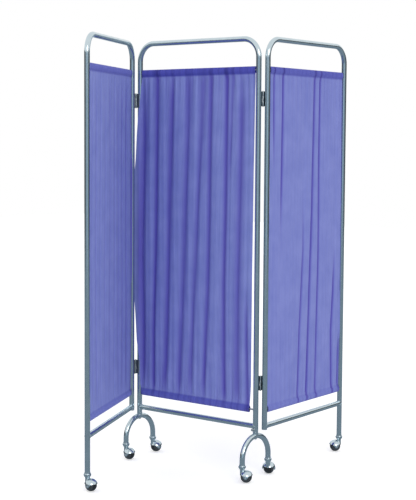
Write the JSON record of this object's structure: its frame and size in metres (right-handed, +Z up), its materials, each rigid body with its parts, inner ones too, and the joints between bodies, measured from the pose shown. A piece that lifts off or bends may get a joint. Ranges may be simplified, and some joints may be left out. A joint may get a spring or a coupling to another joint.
{
  "type": "ward privacy screen",
  "caption": "Folding ward privacy screen on wheels: bright tube frames hinged in a zigzag, each with a gathered cloth curtain, on arched feet and hooded ball casters.",
  "frame": {"origin": "middle of the screen's plan, at floor level, as it stands in its zigzag", "axes": "+X along the centre frame to its right post, -Y the centre frame's front, +Z up"},
  "size_m": [0.7052, 1.2632, 1.8],
  "materials": {
    "chromed_tube": "bright plated",
    "plain_steel": "satin",
    "curtain_cloth": "matt woven",
    "ball_rubber": "matt"
  },
  "bodies": {
    "centre_frame": {"centre_frame_tube": "chromed_tube", "centre_bottom_rail": "chromed_tube", "centre_top_rod": "plain_steel", "centre_bottom_rod": "plain_steel", "centre_curtain": "curtain_cloth", "left_foot_arch": "chromed_tube", "left_foot_spigot": "plain_steel", "left_foot_bolt": "plain_steel", "left_foot_lock_screw": "plain_steel", "left_upper_hinge_centre_leaf": "plain_steel", "left_upper_hinge_pin": "plain_steel", "left_lower_hinge_centre_leaf": "plain_steel", "left_lower_hinge_pin": "plain_steel", "left_front_caster_stem": "chromed_tube", "left_rear_caster_stem": "chromed_tube", "right_foot_arch": "chromed_tube", "right_foot_spigot": "plain_steel", "right_foot_bolt": "plain_steel", "right_foot_lock_screw": "plain_steel", "right_upper_hinge_centre_leaf": "plain_steel", "right_upper_hinge_pin": "plain_steel", "right_lower_hinge_centre_leaf": "plain_steel", "right_lower_hinge_pin": "plain_steel", "right_front_caster_stem": "chromed_tube", "right_rear_caster_stem": "chromed_tube"},
    "left_frame": {"left_frame_tube": "chromed_tube", "left_bottom_rail": "chromed_tube", "left_top_rod": "plain_steel", "left_bottom_rod": "plain_steel", "left_curtain": "curtain_cloth", "left_upper_hinge_side_leaf": "plain_steel", "left_lower_hinge_side_leaf": "plain_steel", "left_outer_caster_stem": "chromed_tube"},
    "right_frame": {"right_frame_tube": "chromed_tube", "right_bottom_rail": "chromed_tube", "right_top_rod": "plain_steel", "right_bottom_rod": "plain_steel", "right_curtain": "curtain_cloth", "right_upper_hinge_side_leaf": "plain_steel", "right_lower_hinge_side_leaf": "plain_steel", "right_outer_caster_stem": "chromed_tube"},
    "left_outer_caster_fork": {"left_outer_caster_hood": "chromed_tube", "left_outer_caster_axle": "plain_steel"},
    "left_outer_caster_ball": {"left_outer_caster_wheel": "ball_rubber"},
    "left_front_caster_fork": {"left_front_caster_hood": "chromed_tube", "left_front_caster_axle": "plain_steel"},
    "left_front_caster_ball": {"left_front_caster_wheel": "ball_rubber"},
    "left_rear_caster_fork": {"left_rear_caster_hood": "chromed_tube", "left_rear_caster_axle": "plain_steel"},
    "left_rear_caster_ball": {"left_rear_caster_wheel": "ball_rubber"},
    "right_front_caster_fork": {"right_front_caster_hood": "chromed_tube", "right_front_caster_axle": "plain_steel"},
    "right_front_caster_ball": {"right_front_caster_wheel": "ball_rubber"},
    "right_rear_caster_fork": {"right_rear_caster_hood": "chromed_tube", "right_rear_caster_axle": "plain_steel"},
    "right_rear_caster_ball": {"right_rear_caster_wheel": "ball_rubber"},
    "right_outer_caster_fork": {"right_outer_caster_hood": "chromed_tube", "right_outer_caster_axle": "plain_steel"},
    "right_outer_caster_ball": {"right_outer_caster_wheel": "ball_rubber"}
  },
  "joints": [
    {"name": "left_fold", "type": "hinge", "parent": "centre_frame", "child": "left_frame", "pos_m": [-0.33534, -0.03528, 0.971], "axis": [0, 0, 1], "range_deg": [-115.5, 51]},
    {"name": "right_fold", "type": "hinge", "parent": "centre_frame", "child": "right_frame", "pos_m": [0.32466, -0.00928, 0.971], "axis": [0, 0, 1], "range_deg": [-93.4, 73.1]},
    {"name": "left_outer_swivel", "type": "hinge", "parent": "left_frame", "child": "left_outer_caster_fork", "pos_m": [-0.07757, -0.60589, 0.0735], "axis": [0, 0, 1], "continuous": true},
    {"name": "left_outer_roll", "type": "hinge", "parent": "left_outer_caster_fork", "child": "left_outer_caster_ball", "pos_m": [-0.06083, -0.60294, 0.0234], "axis": [-0.1736, 0.9848, 0], "continuous": true},
    {"name": "left_front_swivel", "type": "hinge", "parent": "centre_frame", "child": "left_front_caster_fork", "pos_m": [-0.32234, -0.11028, 0.0735], "axis": [0, 0, 1], "continuous": true},
    {"name": "left_front_roll", "type": "hinge", "parent": "left_front_caster_fork", "child": "left_front_caster_ball", "pos_m": [-0.3055, -0.10791, 0.0234], "axis": [-0.1392, 0.9903, 0], "continuous": true},
    {"name": "left_rear_swivel", "type": "hinge", "parent": "centre_frame", "child": "left_rear_caster_fork", "pos_m": [-0.32234, 0.06572, 0.0735], "axis": [0, 0, 1], "continuous": true},
    {"name": "left_rear_roll", "type": "hinge", "parent": "left_rear_caster_fork", "child": "left_rear_caster_ball", "pos_m": [-0.31652, 0.0817, 0.0234], "axis": [-0.9397, 0.342, 0], "continuous": true},
    {"name": "right_front_swivel", "type": "hinge", "parent": "centre_frame", "child": "right_front_caster_fork", "pos_m": [0.31166, -0.11028, 0.0735], "axis": [0, 0, 1], "continuous": true},
    {"name": "right_front_roll", "type": "hinge", "parent": "right_front_caster_fork", "child": "right_front_caster_ball", "pos_m": [0.32638, -0.10178, 0.0234], "axis": [-0.5, 0.866, 0], "continuous": true},
    {"name": "right_rear_swivel", "type": "hinge", "parent": "centre_frame", "child": "right_rear_caster_fork", "pos_m": [0.31166, 0.06572, 0.0735], "axis": [0, 0, 1], "continuous": true},
    {"name": "right_rear_roll", "type": "hinge", "parent": "right_rear_caster_fork", "child": "right_rear_caster_ball", "pos_m": [0.30502, 0.08137, 0.0234], "axis": [-0.9205, -0.3907, 0], "continuous": true},
    {"name": "right_outer_swivel", "type": "hinge", "parent": "right_frame", "child": "right_outer_caster_fork", "pos_m": [0.30051, 0.61639, 0.0735], "axis": [0, 0, 1], "continuous": true},
    {"name": "right_outer_roll", "type": "hinge", "parent": "right_outer_caster_fork", "child": "right_outer_caster_ball", "pos_m": [0.28923, 0.60368, 0.0234], "axis": [0.7478, -0.6639, 0], "continuous": true}
  ]
}
